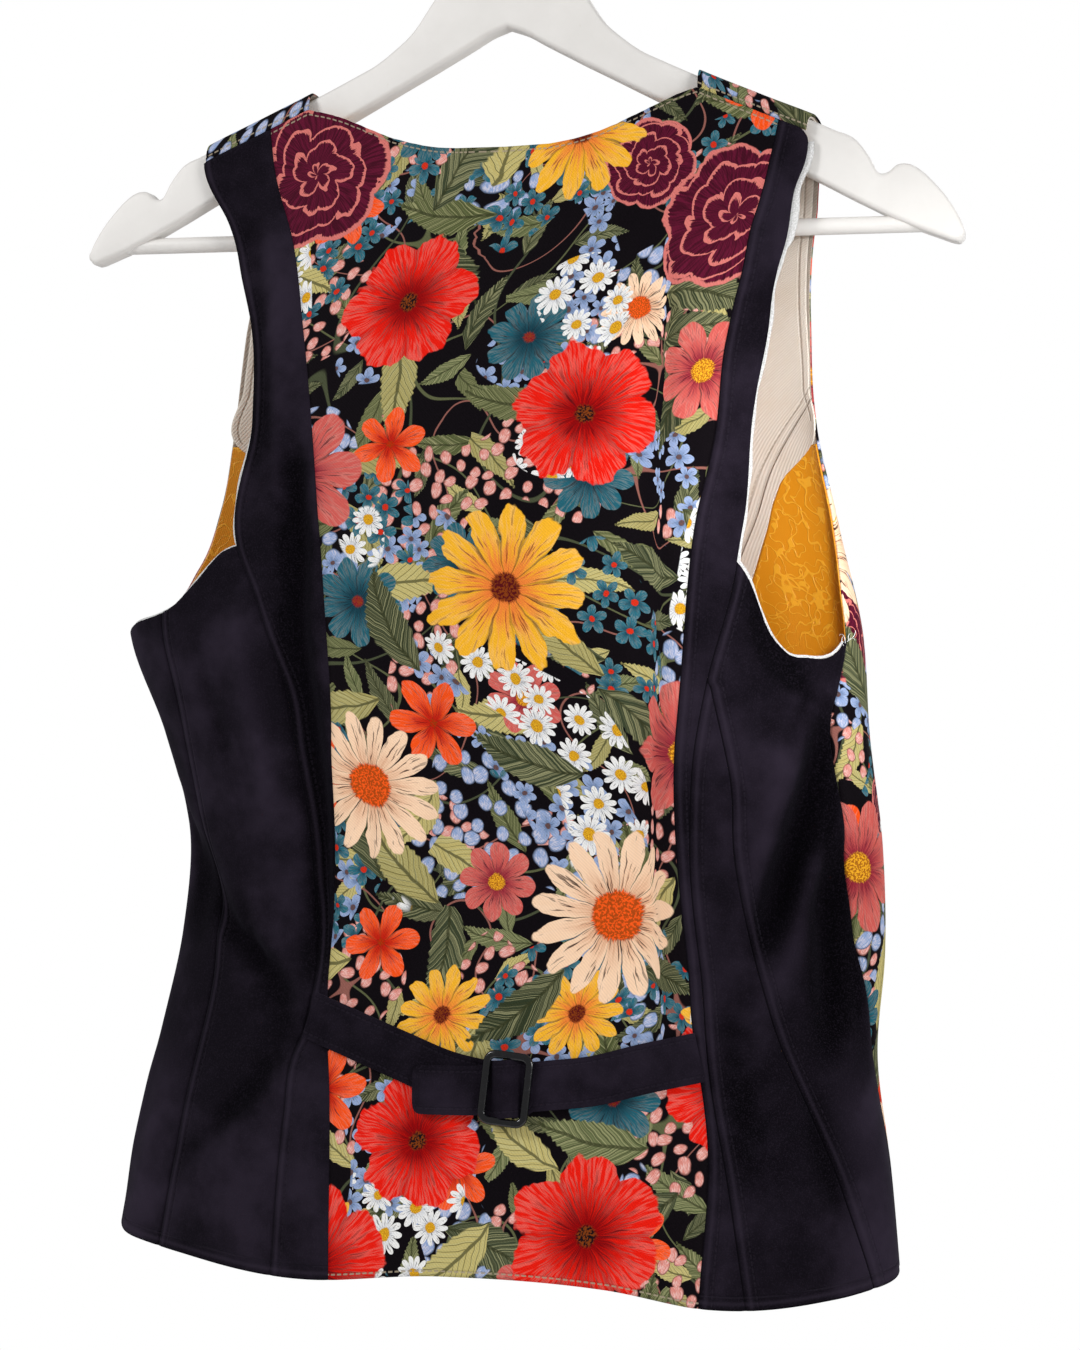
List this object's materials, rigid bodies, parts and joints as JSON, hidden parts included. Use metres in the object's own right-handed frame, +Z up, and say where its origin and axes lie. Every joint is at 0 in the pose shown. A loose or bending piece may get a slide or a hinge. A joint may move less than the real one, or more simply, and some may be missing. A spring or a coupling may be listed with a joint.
{
  "type": "vest on a hanger",
  "caption": "Fitted waistcoat with a floral and black suede back and a buckled back belt, hung open-necked on a flat wooden hanger.",
  "frame": {"origin": "inner top of the hook, where a rail holds it", "axes": "+Z up; the vest's back faces -Y and the wearer's front faces +Y; +X is to the right seen from behind"},
  "size_m": [0.4449, 0.1547, 0.7099],
  "materials": {
    "floral_print": "printed cotton, black ground",
    "black_suede": "microsuede, mottled nap",
    "cream_twill": "twill",
    "mustard_lining": "woven satin",
    "white_edge": "plain weave",
    "black_metal": "satin black",
    "black_button": "satin",
    "white_wood": "white paint, satin",
    "hook_steel": "polished"
  },
  "bodies": {
    "root": {"armhole_facing_left": "white_edge", "armhole_facing_right": "white_edge", "back_centre": "floral_print", "back_middle_left": "black_suede", "back_middle_right": "black_suede", "back_side_left": "black_suede", "back_side_right": "black_suede", "back_strip_left": "black_suede", "back_strip_right": "black_suede", "belt_left": "black_suede", "belt_right": "black_suede", "buckle": "black_metal", "button_1": "black_button", "button_2": "black_button", "button_3": "black_button", "button_4": "black_button", "facing_left": "cream_twill", "facing_right": "cream_twill", "front_left": "floral_print", "front_right": "floral_print", "hanger_board": "white_wood", "hook": "hook_steel", "lining_left": "mustard_lining", "lining_right": "mustard_lining", "trouser_bar": "white_wood"}
  },
  "joints": []
}
